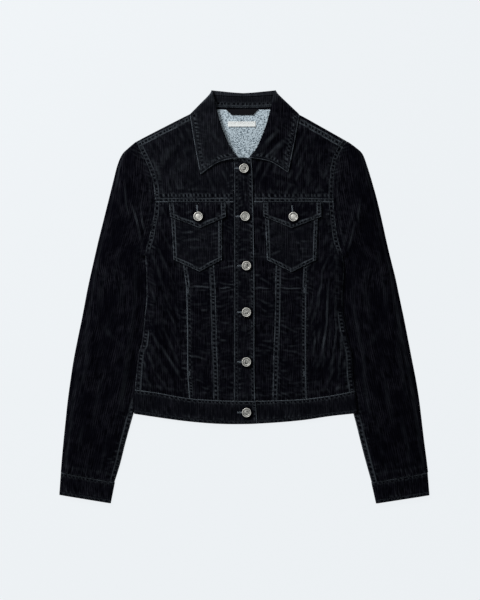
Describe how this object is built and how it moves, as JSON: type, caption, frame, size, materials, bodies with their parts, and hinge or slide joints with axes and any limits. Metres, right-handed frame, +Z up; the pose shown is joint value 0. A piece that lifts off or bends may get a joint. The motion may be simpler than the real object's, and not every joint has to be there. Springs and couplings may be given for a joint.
{
  "type": "trucker jacket",
  "caption": "Cropped needlecord trucker jacket, buttoned and laid flat on its back, with a turned-down collar, flapped chest pockets, straight sleeves and a waistband.",
  "frame": {"origin": "the middle of the jacket's outline, on the surface it lies on", "axes": "+Y to the collar, +X to the wearer's left sleeve, +Z up from the surface through the front"},
  "size_m": [0.6665, 0.7429, 0.014],
  "materials": {
    "needlecord": "washed cotton needlecord, near-black navy, matt with a soft nap",
    "woven_facing": "plain woven cotton, pale blue-grey, mottled",
    "hanger_tape": "dark woven tape",
    "label_satin": "cream satin, bare",
    "antique_nickel": "antique nickel-plated, domed and slightly worn"
  },
  "bodies": {
    "root": {"back_yoke": "needlecord", "back_centre": "needlecord", "back_side_right": "needlecord", "back_side_left": "needlecord", "waistband_back": "needlecord", "front_yoke_right": "needlecord", "front_centre_right": "needlecord", "front_mid_right": "needlecord", "front_side_right": "needlecord", "front_yoke_left": "needlecord", "front_centre_left": "needlecord", "front_mid_left": "needlecord", "front_side_left": "needlecord", "placket_right": "needlecord", "placket_left": "needlecord", "waistband_right": "needlecord", "waistband_left": "needlecord", "pocket_right": "needlecord", "flap_right": "needlecord", "pocket_left": "needlecord", "flap_left": "needlecord", "collar_leaf": "needlecord", "collar_stand": "needlecord", "sleeve_upper_right": "needlecord", "sleeve_under_right": "needlecord", "cuff_upper_right": "needlecord", "cuff_under_right": "needlecord", "sleeve_upper_left": "needlecord", "sleeve_under_left": "needlecord", "cuff_upper_left": "needlecord", "cuff_under_left": "needlecord", "back_neck_facing": "woven_facing", "hanger_loop": "hanger_tape", "neck_label": "label_satin", "button_front_1": "antique_nickel", "button_front_2": "antique_nickel", "button_front_3": "antique_nickel", "button_front_4": "antique_nickel", "button_front_5": "antique_nickel", "button_front_6": "antique_nickel", "button_flap_right": "antique_nickel", "button_flap_left": "antique_nickel"}
  },
  "joints": []
}
